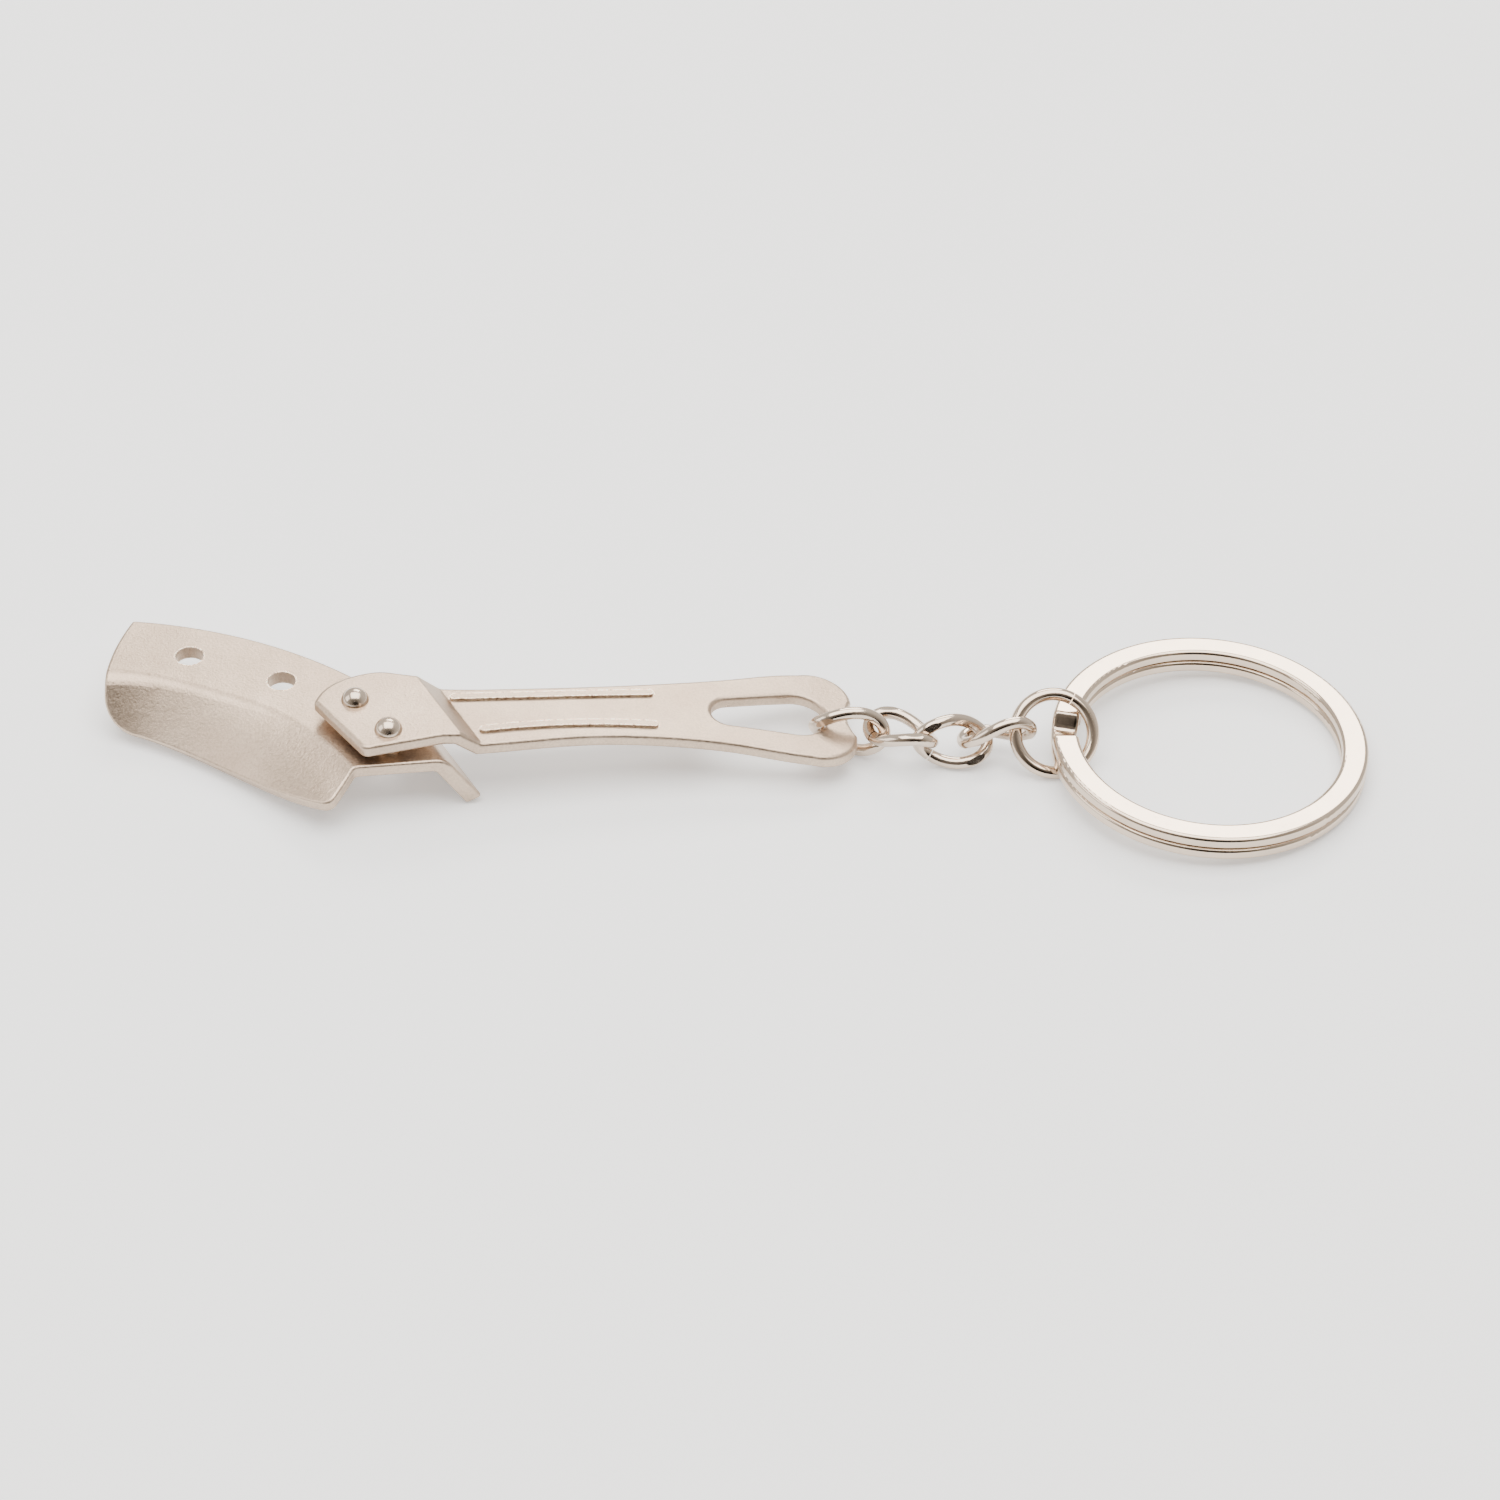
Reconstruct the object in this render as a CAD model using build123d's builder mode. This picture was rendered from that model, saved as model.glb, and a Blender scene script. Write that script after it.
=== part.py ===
from build123d import *
from math import atan2, cos, degrees, pi, radians, sin, tan
import os

# Keychain bottle opener, millimetres, +Z up, lying on its hook, its scoop and its ring.
# The scoop is at -X, the split ring at +X. Z = 0 is the surface that it lies on.

os.makedirs("parts", exist_ok=True)

# Both castings
PLATE_T = 1.35              # thickness
EDGE_R = 0.3                # rounding of the blade's edges
HANDLE_EDGE_R = 0.4         # rounding of the handle's edges
BLADE_TOP = 5.5             # height of the blade's flat top
BLADE_BOTTOM = BLADE_TOP - PLATE_T
GAP = 1.0                   # air between blade and head, bridged by the rivets' collars
HEAD_TOP = BLADE_TOP + GAP + PLATE_T
STEP_DROP = 1.4             # the handle leaves the head one step lower
HANDLE_TOP = HEAD_TOP - STEP_DROP

# The opener's own axes: x along the handle towards the ring, y across it
YAW = 6.5
opener = Plane(origin=(0, 0.12, 0), x_dir=(cos(radians(YAW)), sin(radians(YAW)), 0), z_dir=(0, 0, 1))

# Step, head edge and hook bend run along one slanted direction
SLANT = 21.5                # degrees from the handle's cross direction
slanted = opener.rotated((0, 0, SLANT))

# Handle
ARCH_START = -25.0          # the handle curves down from here to its ring end
ARCH_R = 172.0
HANDLE_END = 9.9
SLOT_SMALL_X, SLOT_SMALL_R = -1.8, 1.9
SLOT_LARGE_X, SLOT_LARGE_R = 4.4, 2.85
STEP_TOP, STEP_FOOT = -27.1, -25.3      # measured across the slant
BEAD_W, BEAD_H = 0.85, 0.24
# start, middle and end of the far and of the near bead
BEADS = [
    ((-27.7, 3.0), (-18.2, 2.45), (-9.3, 2.4)),
    ((-25.3, -2.0), (-18.6, -1.8), (-9.3, -2.25)),
]

# Rivets through head and blade
RIVETS = [(-37.05, 2.1), (-34.25, -2.6)]
DOME_R, DOME_H = 1.32, 1.15
SHANK_R = 0.85
COLLAR_R = 1.2
TAIL_R, TAIL_H = 1.15, 0.5

# Blade
HOLES = [(-52.2, 13.25), (-43.7, 8.5)]
HOLE_R = 1.35
SCOOP_LEFT_R, SCOOP_RIGHT_R = 4.0, 1.0
FRONT_Y = -4.95             # front edge of the blade's notch
HOOK_ANGLE = 58.0           # hook flange below the blade's plane
HOOK_BEND = -29.5           # where it bends down, measured across the slant

# Chain of four twisted links
CHAIN_WIRE_R = 0.6
LINK_A, LINK_B = 3.35, 2.1  # half length and half width of the wire's centre line
LINK_TWIST = -32.0          # each end is turned by this much against the middle
LINK_FLAT = 1.06            # flats ground on both sides, from the link's middle plane
SEAM = 0.02                 # half the angle left open where the wire ends meet
LINK_SEAM_AT = 235.0
# centre of each link and its turns about X, Y and Z
LINKS = [
    ((9.39, -0.25, 2.67), (90.3, -8.3, -2.6)),
    ((14.22, -1.13, 3.26), (-8.8, 1.0, -32.8)),
    ((19.10, -1.69, 2.52), (66.8, 7.6, -6.5)),
    ((23.26, -1.34, 3.24), (136.8, 8.4, 19.0)),
]

# Jump ring between chain and split ring
JUMP_R, JUMP_WIRE_R = 3.72, 0.62
JUMP_PLACE = (28.70, -1.40, 3.24)
JUMP_NORMAL = (0.12, -0.70, 0.71)
JUMP_SEAM_AT = 62.0

# Split ring: two coils of flat wire, joined by a crank on the chain's side
RING_OD = 30.0
RING_BAND, RING_COIL_T = 2.5, 1.2
RING_GAP = 0.1
RING_EDGE_R = 0.42
RING_PLACE = (43.36, -2.04, 2.155)
RING_TILT = 3.54            # its chain side lies on the jump ring
CRANK_START, CRANK_END = 169.0, 174.5
UPPER_END, LOWER_END = 184.0, 164.0     # where the flat wire ends, in either coil


def place(x, y, z=0.0):
    """A point given in the opener's own axes."""
    return opener.from_local_coords(Vector(x, y, z))


def side_of(plane):
    """The upright plane along a plane's x axis: sketch x runs along it, sketch y is height."""
    return Plane(origin=plane.origin, x_dir=plane.x_dir, z_dir=-plane.y_dir)


def cross_section(x):
    """The upright plane across the opener at x: sketch x runs across it, sketch y is height."""
    return Plane(origin=place(x, 0), x_dir=opener.y_dir, z_dir=opener.x_dir)


def corners_of(part):
    """Edges where two faces meet at a real corner."""
    found = []
    for edge in part.edges():
        normals = [face.normal_at(edge @ 0.5) for face in part.faces() if edge in face.edges()]
        if len(normals) == 2 and normals[0].get_angle(normals[1]) > 25:
            found.append(edge)
    return found


# ---------------------------------------------------------------- handle and its head

def arch_band(top, bottom, start):
    """Side profile of the handle between two heights over its curve, from start to the ring end."""
    centre = (ARCH_START, HANDLE_TOP - ARCH_R)
    end_angle = 90 - degrees((12 - ARCH_START) / ARCH_R)
    with BuildSketch(side_of(opener)) as band:
        with BuildLine():
            upper = CenterArc(centre, ARCH_R + top, 90, end_angle - 90)
            lower = CenterArc(centre, ARCH_R + bottom, 90, end_angle - 90)
            Line(upper @ 1, lower @ 1)
            Polyline(upper @ 0, (start, HANDLE_TOP + top), (start, HANDLE_TOP + bottom), lower @ 0)
        make_face()
    return band.sketch


bead_lines = [ThreePointArc(*points) for points in BEADS]

with BuildPart() as beads:
    extrude(arch_band(BEAD_H, -0.3, -30), amount=6, both=True)
    with BuildSketch(opener):
        for line in bead_lines:
            SlotArc(line, BEAD_W)
    extrude(amount=10, mode=Mode.INTERSECT)

with BuildPart() as handle:
    # head, step and the straight start of the handle, bent along the slant
    with BuildSketch(side_of(slanted)):
        with BuildLine():
            Polyline((-46, HEAD_TOP), (STEP_TOP, HEAD_TOP), (STEP_FOOT, HANDLE_TOP), (-10, HANDLE_TOP),
                     (-10, HANDLE_TOP - PLATE_T), (STEP_FOOT - 0.5, HANDLE_TOP - PLATE_T),
                     (STEP_TOP - 0.5, HEAD_TOP - PLATE_T), (-46, HEAD_TOP - PLATE_T), close=True)
        make_face()
    extrude(amount=30, both=True)
    split(bisect_by=cross_section(ARCH_START), keep=Keep.BOTTOM)
    # the curved grip
    extrude(arch_band(0, -PLATE_T, ARCH_START), amount=8, both=True)
    # outline of both, seen from above
    with BuildSketch(opener):
        with BuildLine():
            far_side = Spline((-30.4, 5.0), (-23.5, 4.05), (-16, 3.75), (-8, 4.1), (-1, 5.05), (5.2, 6.15),
                              tangents=((1, -0.25), (1, 0.08)))
            near_side = Spline((-29.3, -3.95), (-23.5, -4.1), (-16, -3.75), (-8, -4.1), (-1, -5.05),
                               (5.2, -6.15), tangents=((1, -0.12), (1, -0.08)))
            far_lobe = ThreePointArc(far_side @ 1, (8.9, 5.1), (HANDLE_END, 2.5))
            near_lobe = ThreePointArc(near_side @ 1, (8.9, -5.1), (HANDLE_END, -2.5))
            ThreePointArc(far_lobe @ 1, (HANDLE_END - 0.6, 0), near_lobe @ 1)
            Spline((-40.9, 2.3), (-38.6, 5.1), (-34.9, 6.15), (-30.4, 5.0), tangents=((0.35, 1), (1, -0.25)))
            FilletPolyline((-40.9, 2.3), (-36.75, -5.1), (-29.3, -3.95), radius=0.9)
        make_face()
    extrude(amount=10, mode=Mode.INTERSECT)
    # tapered slot for the chain
    with BuildSketch(opener):
        with Locations((SLOT_SMALL_X, 0)):
            Circle(SLOT_SMALL_R)
        with Locations((SLOT_LARGE_X, 0)):
            Circle(SLOT_LARGE_R)
        make_hull()
    extrude(amount=10, mode=Mode.SUBTRACT)
    fillet(corners_of(handle.part), HANDLE_EDGE_R)
    with Locations(*[place(x, y, HEAD_TOP) for x, y in RIVETS]):
        Hole(SHANK_R, PLATE_T + 1)
    add(beads.part)


# ---------------------------------------------------------------- blade with scoop and hook

# Sections across the scoop: place, fold line, lip, height of the lip, radius of the fold
SCOOP_SECTIONS = [
    (-61.5, 11.3, 7.8, 1.4, 2.2),
    (-56.0, 10.3, 5.8, 1.4, 2.2),
    (-51.0, 7.9, 2.0, 1.4, 2.4),
    (-46.5, 5.3, -2.35, 2.0, 3.2),
    (-42.0, 1.4, -6.8, 3.3, 4.5),
    (-38.5, -3.9, -8.8, 4.1, 4.0),
    (-35.6, -8.0, -11.0, 4.8, 2.0),
]
SCOOP_END = SCOOP_SECTIONS[-1][0]

with BuildPart() as flat:
    # flat plate between scoop and hook, and the hook's flange down to the ground
    with BuildSketch(side_of(slanted)):
        hook_angle = radians(HOOK_ANGLE)
        reach = BLADE_BOTTOM / tan(hook_angle)
        with BuildLine():
            outer = FilletPolyline((-52, BLADE_TOP), (HOOK_BEND + PLATE_T * tan(hook_angle / 2), BLADE_TOP),
                                   (HOOK_BEND + reach + PLATE_T * sin(hook_angle), PLATE_T * cos(hook_angle)),
                                   radius=1.9)
            inner = FilletPolyline((-52, BLADE_BOTTOM), (HOOK_BEND - 0.25, BLADE_BOTTOM),
                                   (HOOK_BEND - 0.25 + reach, 0), radius=0.55)
            Line(outer @ 0, inner @ 0)
            Line(outer @ 1, inner @ 1)
        make_face()
    extrude(amount=30, both=True)
    split(bisect_by=cross_section(SCOOP_END), keep=Keep.TOP)

with BuildPart() as blade:
    for x, fold, lip, lip_z, fold_r in SCOOP_SECTIONS:
        fall = atan2(BLADE_TOP - lip_z, fold - lip)
        with BuildSketch(cross_section(x)) as section:
            with BuildLine():
                top = FilletPolyline((24, BLADE_TOP), (fold, BLADE_TOP), (lip, lip_z), radius=fold_r)
                under = FilletPolyline((24, BLADE_BOTTOM), (fold + PLATE_T * tan(fall / 2), BLADE_BOTTOM),
                                       (lip + PLATE_T * sin(fall), lip_z - PLATE_T * cos(fall)),
                                       radius=fold_r - PLATE_T)
                Line(top @ 0, under @ 0)
                Line(top @ 1, under @ 1)
            make_face()
    loft()
    add(flat.part)
    # outline of the blade, seen from above
    with BuildSketch(opener) as blade_outline:
        with BuildLine():
            far_edge = ThreePointArc((-57.35, 19.3), (-46.85, 15.5), (-35.2, 6.65))
            left_edge = ThreePointArc(far_edge @ 0, (-60.25, 11.6), (-60.7, 6.5))
            Polyline(far_edge @ 1, (-34.2, 3.0), (-25, 6.63), (-22, FRONT_Y), (-37.6, FRONT_Y),
                     (-40.45, -8.3), (-40.45, -14), (-60.0, -14), left_edge @ 1)
        make_face()
        notch_corner = blade_outline.vertices().sort_by_distance((-37.6, FRONT_Y))[0]
        fillet(notch_corner, 1.0)
    extrude(amount=10, mode=Mode.INTERSECT)
    fillet(blade.edges().sort_by_distance(place(-60.7, 7.8, 1.2))[0], SCOOP_LEFT_R)
    fillet(blade.edges().sort_by_distance(place(-40.1, -7.9, 3.1))[0], SCOOP_RIGHT_R)
    fillet(corners_of(blade.part), EDGE_R)
    with Locations(*[place(x, y, BLADE_TOP) for x, y in HOLES]):
        Hole(HOLE_R, PLATE_T + 0.5)
    with Locations(*[place(x, y, BLADE_TOP) for x, y in RIVETS]):
        Hole(SHANK_R, PLATE_T + 0.5)


# ---------------------------------------------------------------- rivets

def rivet(x, y):
    """A rivet at one place of the opener: dome, shank, collar between the castings, tail."""
    with BuildPart() as piece:
        with BuildSketch(Plane(origin=place(x, y), x_dir=opener.x_dir, z_dir=-opener.y_dir)):
            with BuildLine():
                dome = TangentArc((0, HEAD_TOP + DOME_H), (DOME_R, HEAD_TOP), tangent=(1, 0))
                Polyline(dome @ 0, (0, BLADE_BOTTOM - TAIL_H), (TAIL_R * 0.7, BLADE_BOTTOM - TAIL_H),
                         (TAIL_R, BLADE_BOTTOM), (SHANK_R, BLADE_BOTTOM), (SHANK_R, BLADE_TOP),
                         (COLLAR_R, BLADE_TOP), (COLLAR_R, BLADE_TOP + GAP), (SHANK_R, BLADE_TOP + GAP),
                         (SHANK_R, HEAD_TOP), dome @ 1)
            make_face()
        revolve(axis=Axis(place(x, y), (0, 0, 1)))
    return piece


# ---------------------------------------------------------------- chain and rings

def wire_point(angle):
    """A point of a link's centre line, an oval whose ends are turned about its long axis."""
    turn = radians(LINK_TWIST) * cos(angle)
    return (LINK_A * cos(angle), LINK_B * sin(angle) * cos(turn), LINK_B * sin(angle) * sin(turn))


def chain_link(centre, turns):
    """A link of the chain, closed but for the hairline seam of its wire."""
    first = radians(LINK_SEAM_AT) + SEAM
    steps = 24
    with BuildPart() as piece:
        with BuildLine():
            wire = Spline(*[wire_point(first + (2 * pi - 2 * SEAM) * k / steps) for k in range(steps + 1)])
        with BuildSketch(Plane(origin=wire @ 0, z_dir=wire % 0)):
            Circle(CHAIN_WIRE_R)
        sweep()
        Box(20, 20, 2 * LINK_FLAT, mode=Mode.INTERSECT)
    piece.part.locate(Location(centre, turns))
    return piece


def ring_section(ring, angle, radius, level=0.0):
    """The plane across a ring's wire at an angle: sketch x points outwards, sketch y along the axis."""
    a = radians(angle)
    outwards = ring.x_dir * cos(a) + ring.y_dir * sin(a)
    return Plane(origin=ring.origin + outwards * radius + ring.z_dir * level, x_dir=outwards,
                 z_dir=outwards.cross(ring.z_dir))


jump = Plane(origin=JUMP_PLACE, x_dir=(1, 0, 0), z_dir=JUMP_NORMAL)
with BuildPart() as jump_ring:
    with BuildSketch(ring_section(jump, JUMP_SEAM_AT, JUMP_R)):
        Circle(JUMP_WIRE_R)
    revolve(axis=Axis(jump.origin, jump.z_dir), revolution_arc=-359)

tilt = radians(RING_TILT)
coils = Plane(origin=RING_PLACE, x_dir=(cos(tilt), 0, -sin(tilt)), z_dir=(sin(tilt), 0, cos(tilt)))
COIL_LEVEL = (RING_COIL_T + RING_GAP) / 2
RIM_R = (RING_OD - RING_BAND) / 2


def coil_section(angle, level):
    """The flat wire's section at an angle and a height above the split ring's middle plane."""
    with BuildSketch(ring_section(coils, angle, RIM_R, level)) as section:
        RectangleRounded(RING_BAND, RING_COIL_T, RING_EDGE_R)
    return section.sketch


with BuildPart() as split_ring:
    for start, end, level in ((UPPER_END, CRANK_START, COIL_LEVEL), (CRANK_END, LOWER_END, -COIL_LEVEL)):
        revolve(coil_section(start, level), axis=Axis(coils.origin, coils.z_dir),
                revolution_arc=360 + end - start)
    # the crank takes the upper coil down into the lower one
    steps = 6
    for k in range(steps + 1):
        add(coil_section(CRANK_START + (CRANK_END - CRANK_START) * k / steps,
                         COIL_LEVEL * cos(pi * k / steps)))
    loft()


# ---------------------------------------------------------------- the assembly

pieces = {"scoop_blade": blade, "handle": handle}
for name, spot in zip(("rear_rivet", "front_rivet"), RIVETS):
    pieces[name] = rivet(*spot)
for number, (centre, turns) in enumerate(LINKS, start=1):
    pieces[f"chain_link_{number}"] = chain_link(centre, turns)
pieces["jump_ring"] = jump_ring
pieces["split_ring"] = split_ring

# the origin is the middle of the underside of the whole object's bounding box
boxes = [piece.part.bounding_box() for piece in pieces.values()]
middle_x = (min(box.min.X for box in boxes) + max(box.max.X for box in boxes)) / 2
middle_y = (min(box.min.Y for box in boxes) + max(box.max.Y for box in boxes)) / 2
lowest = min(box.min.Z for box in boxes)
for name, piece in pieces.items():
    part = piece.part.moved(Location((-middle_x, -middle_y, -lowest)))
    part.label = name
    export_step(part, f"parts/{name}.step")
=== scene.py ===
from math import cos, radians, sin

import bpy
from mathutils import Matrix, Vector

# Keychain bottle opener: looks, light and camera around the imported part. Metres, unless noted.

MM = 0.001
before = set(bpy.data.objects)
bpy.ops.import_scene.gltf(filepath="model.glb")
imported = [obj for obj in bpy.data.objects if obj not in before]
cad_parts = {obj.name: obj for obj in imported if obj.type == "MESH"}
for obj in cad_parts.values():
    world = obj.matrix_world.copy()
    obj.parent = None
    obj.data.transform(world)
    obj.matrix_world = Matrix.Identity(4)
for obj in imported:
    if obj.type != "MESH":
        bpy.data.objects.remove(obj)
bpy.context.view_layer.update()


# ---------------------------------------------------------------- materials

def set_stops(ramp, stops):
    """Gives a colour ramp its stops in rising order, each a position and a colour or a grey."""
    elements = ramp.color_ramp.elements
    for index, (position, colour) in enumerate(stops):
        element = elements[index] if index < 2 else elements.new(position)
        element.position = position
        element.color = colour if isinstance(colour, tuple) else (colour, colour, colour, 1)


class Nodes:
    """A material's node tree, built a node at a time."""

    def __init__(self, name):
        self.material = bpy.data.materials.new(name)
        self.material.use_nodes = True
        self.tree = self.material.node_tree
        self.shader = self.tree.nodes["Principled BSDF"]
        self.coords = self.tree.nodes.new("ShaderNodeTexCoord").outputs["Object"]

    def link(self, output, target):
        self.tree.links.new(output, target)

    def noise(self, scale, detail=3.0, roughness=0.5, stretch=None):
        """Noise with features of about 1/scale metres, stretched if asked."""
        texture = self.tree.nodes.new("ShaderNodeTexNoise")
        texture.inputs["Scale"].default_value = scale
        texture.inputs["Detail"].default_value = detail
        texture.inputs["Roughness"].default_value = roughness
        source = self.coords
        if stretch:
            mapping = self.tree.nodes.new("ShaderNodeMapping")
            mapping.inputs["Scale"].default_value = stretch
            self.link(source, mapping.inputs["Vector"])
            source = mapping.outputs["Vector"]
        self.link(source, texture.inputs["Vector"])
        return texture.outputs["Fac"]

    def cells(self, scale):
        """Distance to the nearest of scattered points, about 1/scale metres apart."""
        texture = self.tree.nodes.new("ShaderNodeTexVoronoi")
        texture.inputs["Scale"].default_value = scale
        self.link(self.coords, texture.inputs["Vector"])
        return texture.outputs["Distance"]

    def ramp(self, value, stops):
        """A value turned into colours or greys by stops."""
        node = self.tree.nodes.new("ShaderNodeValToRGB")
        set_stops(node, stops)
        self.link(value, node.inputs["Fac"])
        return node.outputs["Color"]

    def edges(self, radius):
        """How much the surface turns within a radius: 1 on flat metal, lower at edges."""
        bevel = self.tree.nodes.new("ShaderNodeBevel")
        bevel.samples = 6
        bevel.inputs["Radius"].default_value = radius
        geometry = self.tree.nodes.new("ShaderNodeNewGeometry")
        dot = self.tree.nodes.new("ShaderNodeVectorMath")
        dot.operation = "DOT_PRODUCT"
        self.link(bevel.outputs["Normal"], dot.inputs[0])
        self.link(geometry.outputs["Normal"], dot.inputs[1])
        return dot.outputs["Value"]

    def mix(self, factor, a, b, mode="MIX"):
        """Two colours mixed; the factor and both colours may be sockets or plain values."""
        node = self.tree.nodes.new("ShaderNodeMix")
        node.data_type = "RGBA"
        node.blend_type = mode
        for value, socket in ((factor, node.inputs["Factor"]), (a, node.inputs["A"]), (b, node.inputs["B"])):
            if hasattr(value, "node"):
                self.link(value, socket)
            else:
                socket.default_value = value
        return node.outputs["Result"]

    def bumps(self, *layers):
        """Bump layers, each a height and its depth in metres, one on top of the other."""
        normal = None
        for height, depth in layers:
            bump = self.tree.nodes.new("ShaderNodeBump")
            bump.inputs["Strength"].default_value = 1.0
            bump.inputs["Distance"].default_value = depth
            self.link(height, bump.inputs["Height"])
            if normal:
                self.link(normal, bump.inputs["Normal"])
            normal = bump.outputs["Normal"]
        self.link(normal, self.shader.inputs["Normal"])


def cast_nickel():
    """Satin nickel over a fine-grained casting, with a painted highlight along the edges: brighter colour
    with dark specks, and the edges smoother.
    """
    m = Nodes("cast_nickel")
    grain = m.noise(4200, 3.0, 0.65)
    clouds = m.noise(170, 4.0, 0.6)
    flow = m.noise(900, 3.0, 0.6, (0.35, 1, 1))
    pits = m.ramp(m.cells(700), [(0.0, 0.0), (0.09, 1.0)])
    sparkle_noise = m.noise(2600, 2.0, 0.6)
    # painted highlight: a mask of the edges, where the colour is brightened; the same edges also get a lower
    # roughness
    highlight_edges = m.ramp(m.edges(0.32 * MM), [(0.90, 1.0), (0.985, 0.0)])
    tone = m.ramp(clouds, [(0.3, (0.55, 0.43, 0.33, 1)), (0.7, (0.65, 0.52, 0.41, 1))])
    fine = m.ramp(grain, [(0.34, (0.80, 0.79, 0.78, 1)), (0.64, (1.0, 1.0, 1.0, 1))])
    colour = m.mix(1.0, tone, fine, "MULTIPLY")
    # painted sparkle on the edges: dark specks and bright glints in place of the casting's colour
    painted_edge_sparkle = m.ramp(sparkle_noise, [(0.36, (0.28, 0.21, 0.15, 1)), (0.44, (0.62, 0.495, 0.39, 1)),
                          (0.60, (0.84, 0.73, 0.61, 1))])
    m.link(m.mix(highlight_edges, colour, painted_edge_sparkle), m.shader.inputs["Base Color"])
    m.shader.inputs["Metallic"].default_value = 1.0
    rough = m.ramp(grain, [(0.25, 0.30), (0.75, 0.42)])
    m.link(m.mix(highlight_edges, rough, (0.22, 0.22, 0.22, 1)), m.shader.inputs["Roughness"])
    m.bumps((clouds, 0.080 * MM), (flow, 0.020 * MM), (grain, 0.034 * MM), (pits, 0.008 * MM))
    return m.material


def bright_nickel(name, colour, rough, wave):
    """Polished nickel with faint drawing marks, handling wear and a waviness given by its depth."""
    m = Nodes(name)
    marks = m.noise(900, 3.0, 0.5, (1, 1, 6))
    haze = m.noise(260, 1.5, 0.5)
    rubs = m.ramp(m.noise(1500, 4.0, 0.7), [(0.55, 0.0), (0.72, 1.0)])
    dark = tuple(c * 0.90 for c in colour) + (1,)
    m.link(m.ramp(haze, [(0.3, dark), (0.7, colour + (1,))]), m.shader.inputs["Base Color"])
    m.shader.inputs["Metallic"].default_value = 1.0
    smooth = m.ramp(haze, [(0.3, rough), (0.7, rough + 0.05)])
    m.link(m.mix(rubs, smooth, (rough + 0.12,) * 3 + (1,)), m.shader.inputs["Roughness"])
    m.bumps((haze, wave), (marks, 0.0015 * MM))
    return m.material


casting = cast_nickel()
rivet_metal = bright_nickel("rivet_nickel", (0.64, 0.53, 0.43), 0.16, 0.020 * MM)
chain_metal = bright_nickel("chain_nickel", (0.68, 0.57, 0.47), 0.10, 0.030 * MM)
ring_metal = bright_nickel("ring_nickel", (0.68, 0.56, 0.45), 0.10, 0.008 * MM)

FINISHES = [
    (casting, ("scoop_blade", "handle")),
    (rivet_metal, ("rear_rivet", "front_rivet")),
    (chain_metal, ("chain_link_1", "chain_link_2", "chain_link_3", "chain_link_4")),
    (ring_metal, ("jump_ring", "split_ring")),
]
for metal, nodes in FINISHES:
    for node in nodes:
        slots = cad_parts[node].data.materials
        slots.clear()
        slots.append(metal)


# ---------------------------------------------------------------- table, light, camera

TABLE_SIZE = 3.0
TABLE_GLOW = 0.4            # brings the table nearer to the photo's white


def table_material():
    """Matt white with faint clouds, glowing a little."""
    m = Nodes("table_white")
    cloud = m.noise(30, 2.0, 0.4)
    tone = m.ramp(cloud, [(0.3, (0.88, 0.905, 0.93, 1)), (0.7, (0.90, 0.925, 0.95, 1))])
    m.link(tone, m.shader.inputs["Base Color"])
    m.shader.inputs["Roughness"].default_value = 0.75
    m.shader.inputs["Emission Color"].default_value = (1, 1, 1, 1)
    m.shader.inputs["Emission Strength"].default_value = TABLE_GLOW
    return m.material


bpy.ops.mesh.primitive_plane_add(size=TABLE_SIZE, location=(0, 0, 0))
table = bpy.context.object
table.name = "table_top"
table.data.materials.append(table_material())


def softbox(name, place, aim, size, power, colour=(1, 1, 1)):
    """An area light of a power in watts at a place, aimed at a point."""
    light = bpy.data.lights.new(name, "AREA")
    light.shape = "RECTANGLE"
    light.size, light.size_y = size
    light.energy = power
    light.color = colour
    lamp = bpy.data.objects.new(name, light)
    lamp.location = place
    lamp.rotation_euler = (Vector(aim) - Vector(place)).to_track_quat("-Z", "Y").to_euler()
    bpy.context.collection.objects.link(lamp)


softbox("overhead", (0, -0.02, 0.70), (0, 0, 0), (0.9, 0.7), 10.0, (1.0, 0.96, 0.91))
softbox("back_panel", (0.06, 0.61, 0.51), (0, 0, 0), (0.42, 0.24), 2.9, (1.0, 0.95, 0.885))
softbox("left", (-0.55, -0.05, 0.3), (0, 0, 0), (0.35, 0.35), 0.9, (1.0, 0.99, 0.98))


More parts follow.
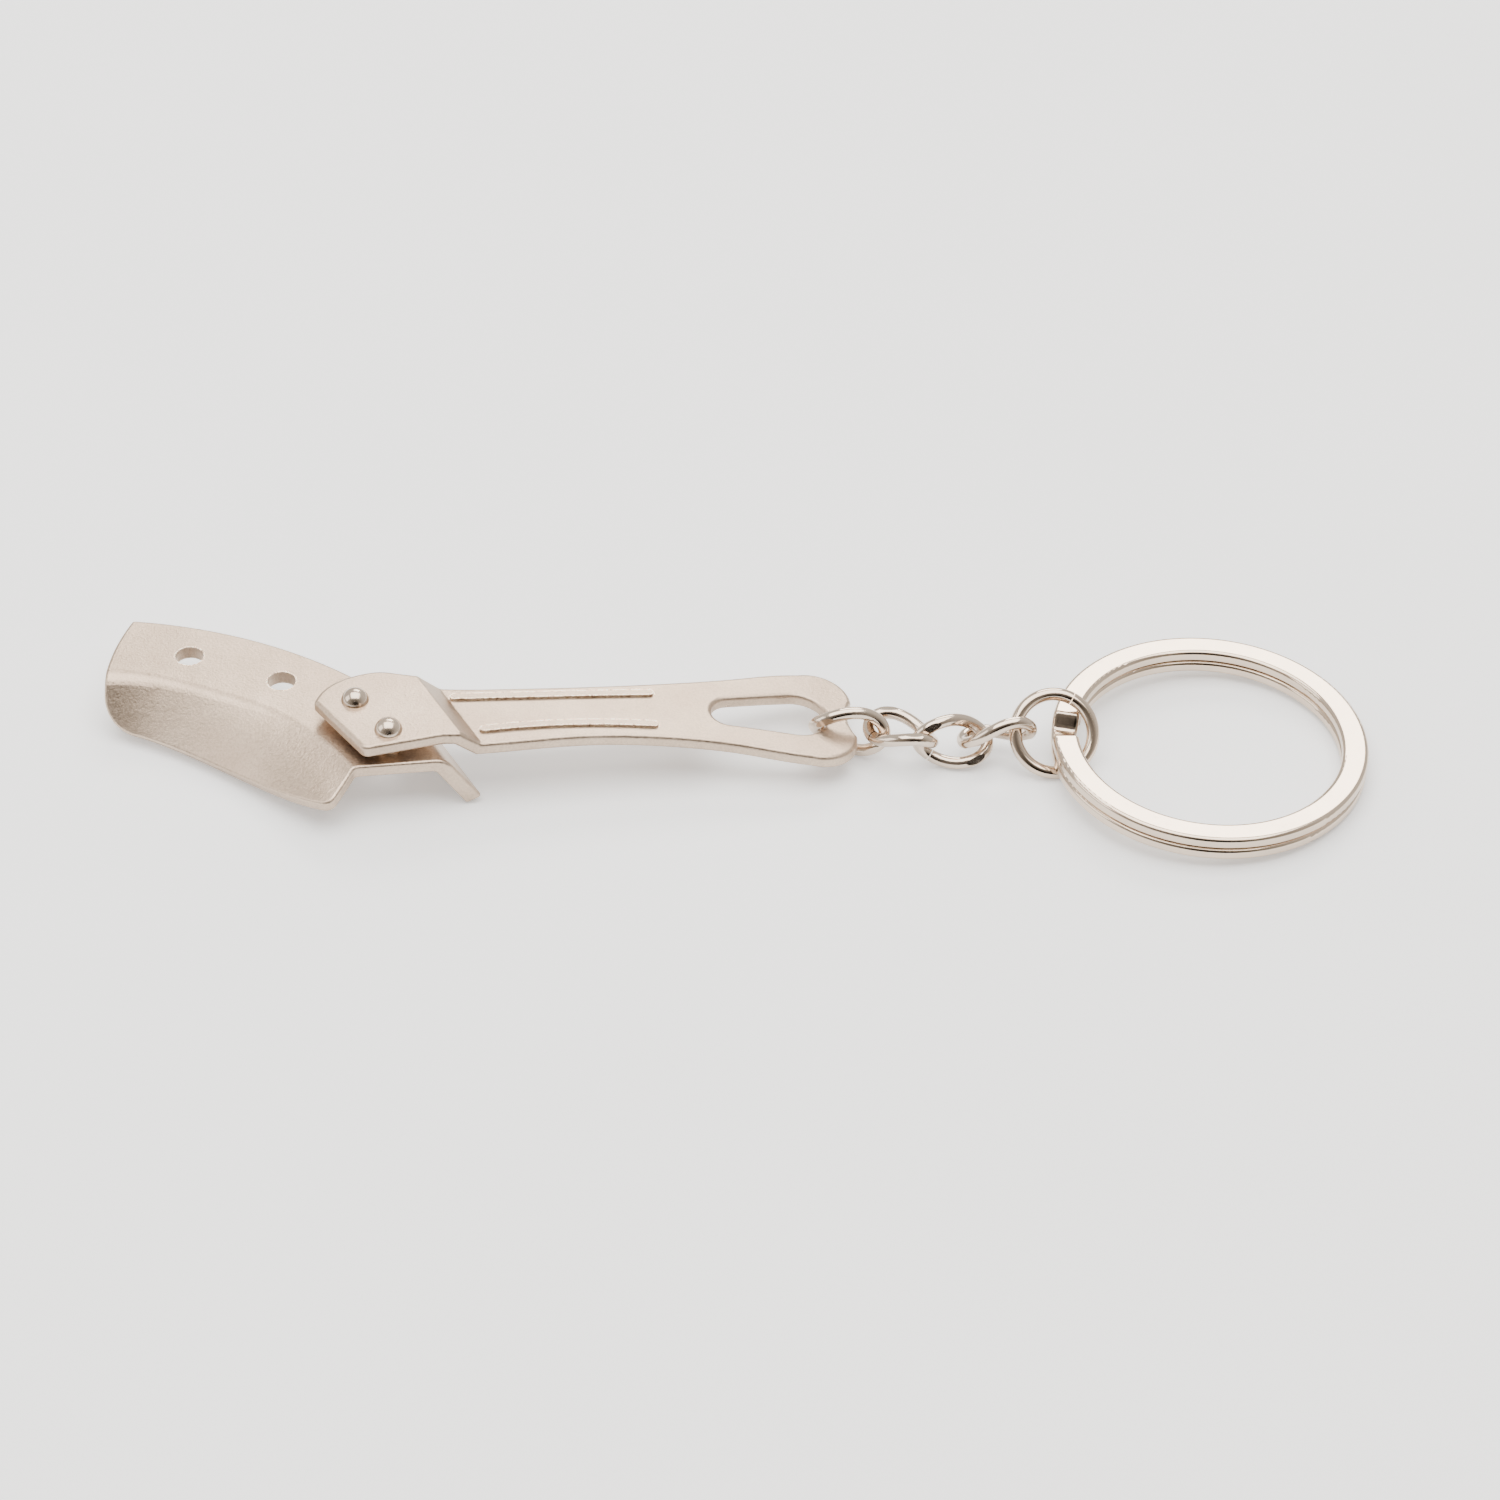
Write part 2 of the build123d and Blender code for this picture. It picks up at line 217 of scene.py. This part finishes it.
def studio_world():
    """A bright tent, darker at the front, with a near-black opening low at the front."""
    world = bpy.data.worlds.new("studio")
    world.use_nodes = True
    tree = world.node_tree
    direction = tree.nodes.new("ShaderNodeTexCoord").outputs["Generated"]
    tint = tree.nodes["Background"].inputs["Color"]

    def towards(x, y, z, stops):
        """A colour ramp over how closely a direction points to (x, y, z)."""
        dot = tree.nodes.new("ShaderNodeVectorMath")
        dot.operation = "DOT_PRODUCT"
        dot.inputs[1].default_value = Vector((x, y, z)).normalized()
        tree.links.new(direction, dot.inputs[0])
        node = tree.nodes.new("ShaderNodeValToRGB")
        set_stops(node, stops)
        tree.links.new(dot.outputs["Value"], node.inputs["Fac"])
        return node.outputs["Color"]

    tent = towards(0, -0.9, 0.44, [(0.0, (1.0, 0.95, 0.89, 1)), (0.45, (0.75, 0.70, 0.64, 1)),
                                   (0.95, (0.22, 0.20, 0.18, 1))])
    opening = towards(0.1, -0.96, 0.24, [(0.90, (1, 1, 1, 1)), (0.965, (0.08, 0.065, 0.05, 1))])
    shade = tree.nodes.new("ShaderNodeMix")
    shade.data_type = "RGBA"
    shade.blend_type = "MULTIPLY"
    shade.inputs["Factor"].default_value = 1.0
    tree.links.new(tent, shade.inputs["A"])
    tree.links.new(opening, shade.inputs["B"])
    tree.links.new(shade.outputs["Result"], tint)
    tree.nodes["Background"].inputs["Strength"].default_value = 1.0
    return world


bpy.context.scene.world = studio_world()

# the camera looks at a point about 2.5 mm from the middle of the object, from the front and above
AIM = Vector((1.43, 2.04, 0.03)) * MM
DISTANCE = 0.600
ELEVATION = radians(40)
SENSOR_WIDTH = 36           # this and the focal length in millimetres, as Blender wants them
FOCAL_LENGTH = 151.8
camera_data = bpy.data.cameras.new("camera")
camera_data.sensor_width = SENSOR_WIDTH
camera_data.lens = FOCAL_LENGTH
camera_data.clip_start = 0.01
camera = bpy.data.objects.new("camera", camera_data)
camera.location = AIM + DISTANCE * Vector((0, -cos(ELEVATION), sin(ELEVATION)))
camera.rotation_euler = (AIM - camera.location).to_track_quat("-Z", "Y").to_euler()
bpy.context.collection.objects.link(camera)
bpy.context.scene.camera = camera
